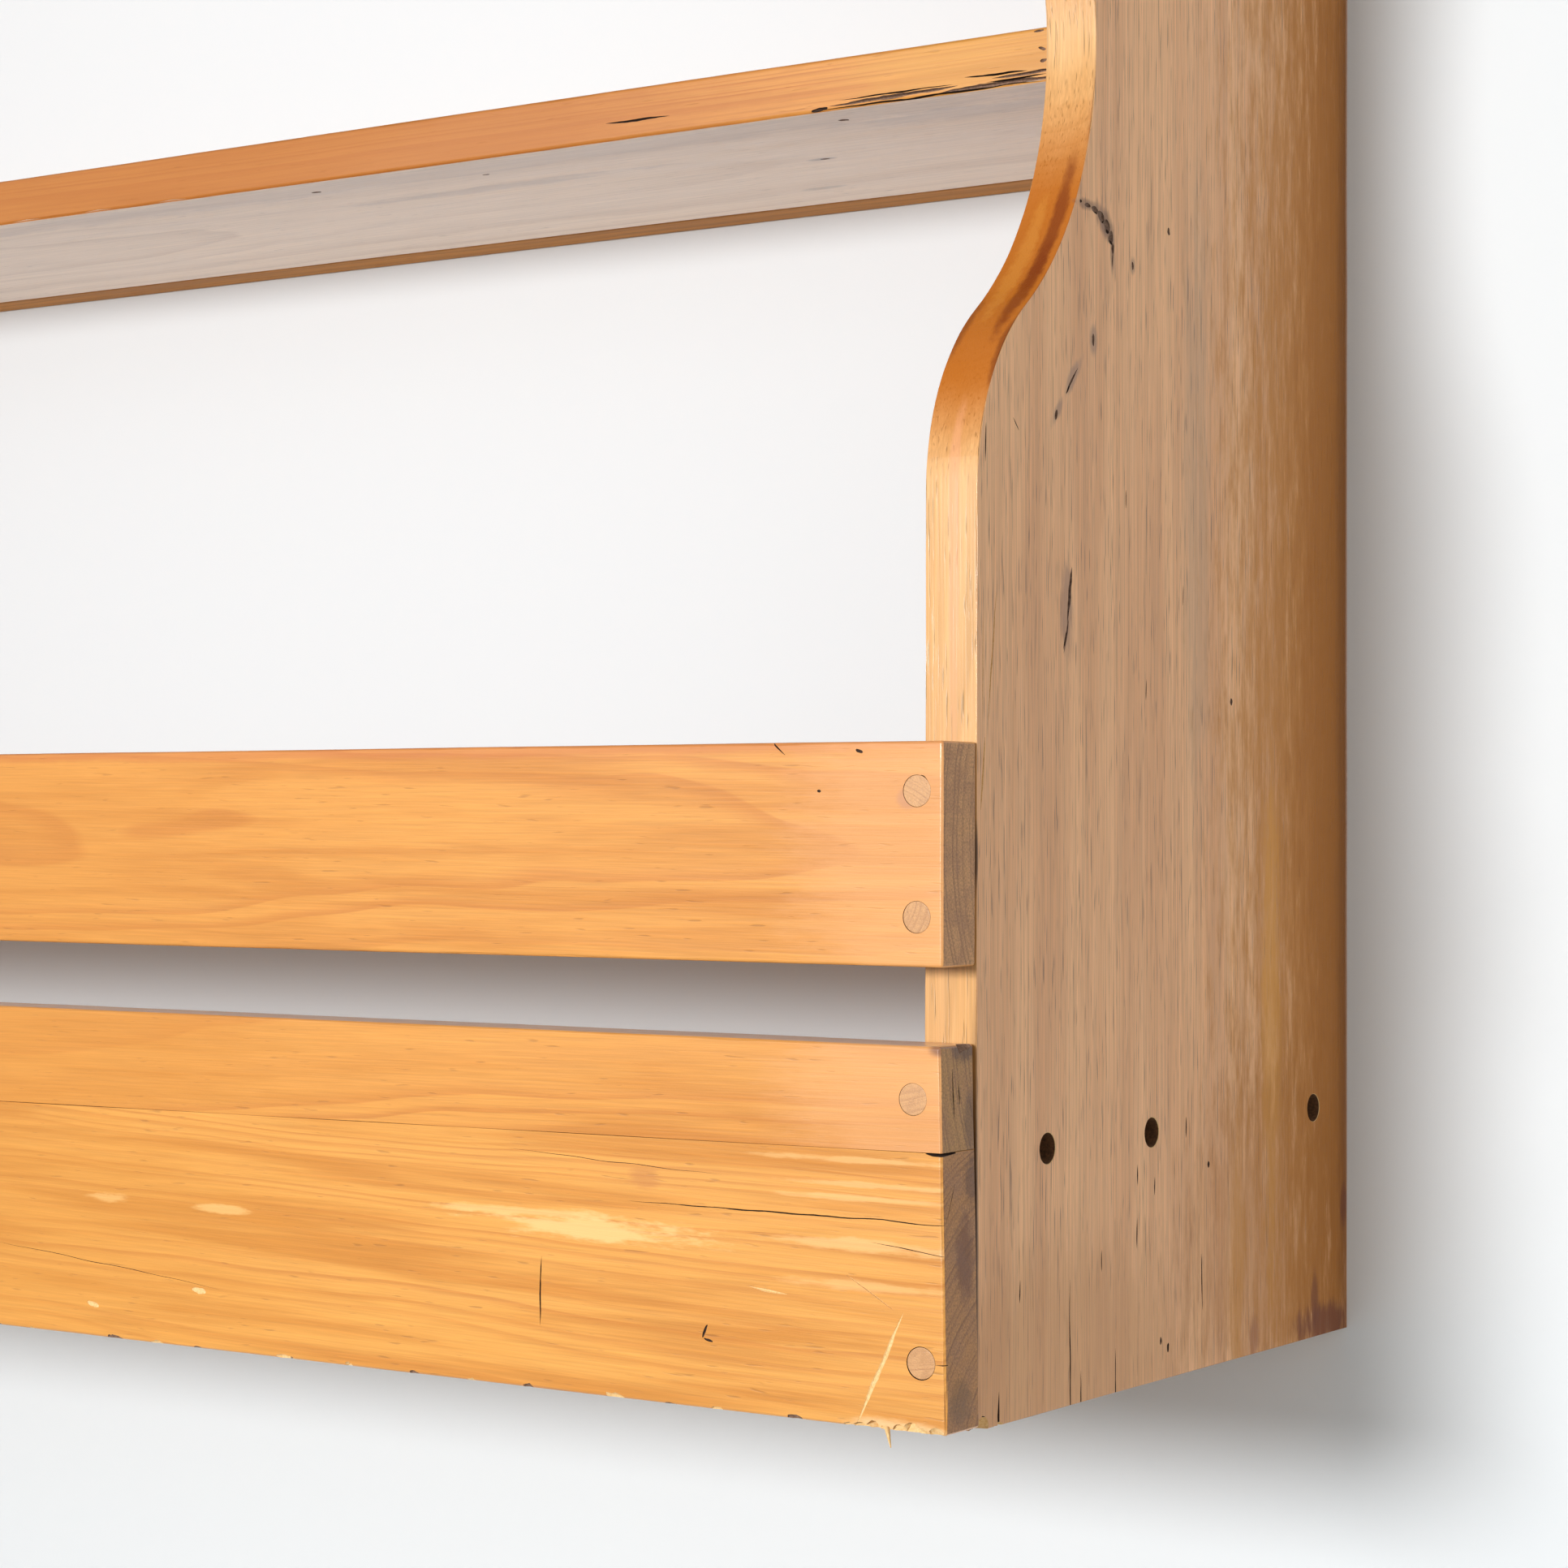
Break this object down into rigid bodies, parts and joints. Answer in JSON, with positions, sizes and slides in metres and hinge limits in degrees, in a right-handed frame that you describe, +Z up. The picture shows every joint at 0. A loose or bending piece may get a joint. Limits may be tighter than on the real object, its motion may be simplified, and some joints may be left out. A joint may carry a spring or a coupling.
{
  "type": "wall rack",
  "caption": "Open pine wall rack with S-curved sides, shelves, and pegged front rails that form a trough; a hanging rail behind the middle shelf holds it to the wall.",
  "frame": {"origin": "middle of the hanging rail's wall face", "axes": "+X along the wall to the right as seen from the front, +Y into the wall, +Z up"},
  "size_m": [1.2, 0.2798, 0.76],
  "materials": {
    "side_pine": "honey varnished pine, upright grain, worn",
    "rail_pine": "honey varnished pine, level grain, worn",
    "shelf_pine": "honey varnished pine, level grain, worn",
    "peg_pine": "varnished pine peg, end face worn flush",
    "screw_steel": "dull steel wood screw, darkened"
  },
  "bodies": {
    "root": {"bottom_shelf": "shelf_pine", "bottom_shelf_screw_back_left": "screw_steel", "bottom_shelf_screw_back_right": "screw_steel", "bottom_shelf_screw_front_left": "screw_steel", "bottom_shelf_screw_front_right": "screw_steel", "bottom_shelf_screw_middle_left": "screw_steel", "bottom_shelf_screw_middle_right": "screw_steel", "front_board_peg_left": "peg_pine", "front_board_peg_right": "peg_pine", "front_strip_peg_left": "peg_pine", "front_strip_peg_right": "peg_pine", "hanging_rail": "shelf_pine", "hanging_rail_screw_1": "screw_steel", "hanging_rail_screw_2": "screw_steel", "hanging_rail_screw_3": "screw_steel", "hanging_rail_screw_4": "screw_steel", "left_side": "side_pine", "lower_front_board": "rail_pine", "lower_front_strip": "rail_pine", "middle_shelf": "shelf_pine", "right_side": "side_pine", "top_shelf": "shelf_pine", "upper_front_rail": "rail_pine", "upper_rail_peg_high_left": "peg_pine", "upper_rail_peg_high_right": "peg_pine", "upper_rail_peg_low_left": "peg_pine", "upper_rail_peg_low_right": "peg_pine"}
  },
  "joints": []
}
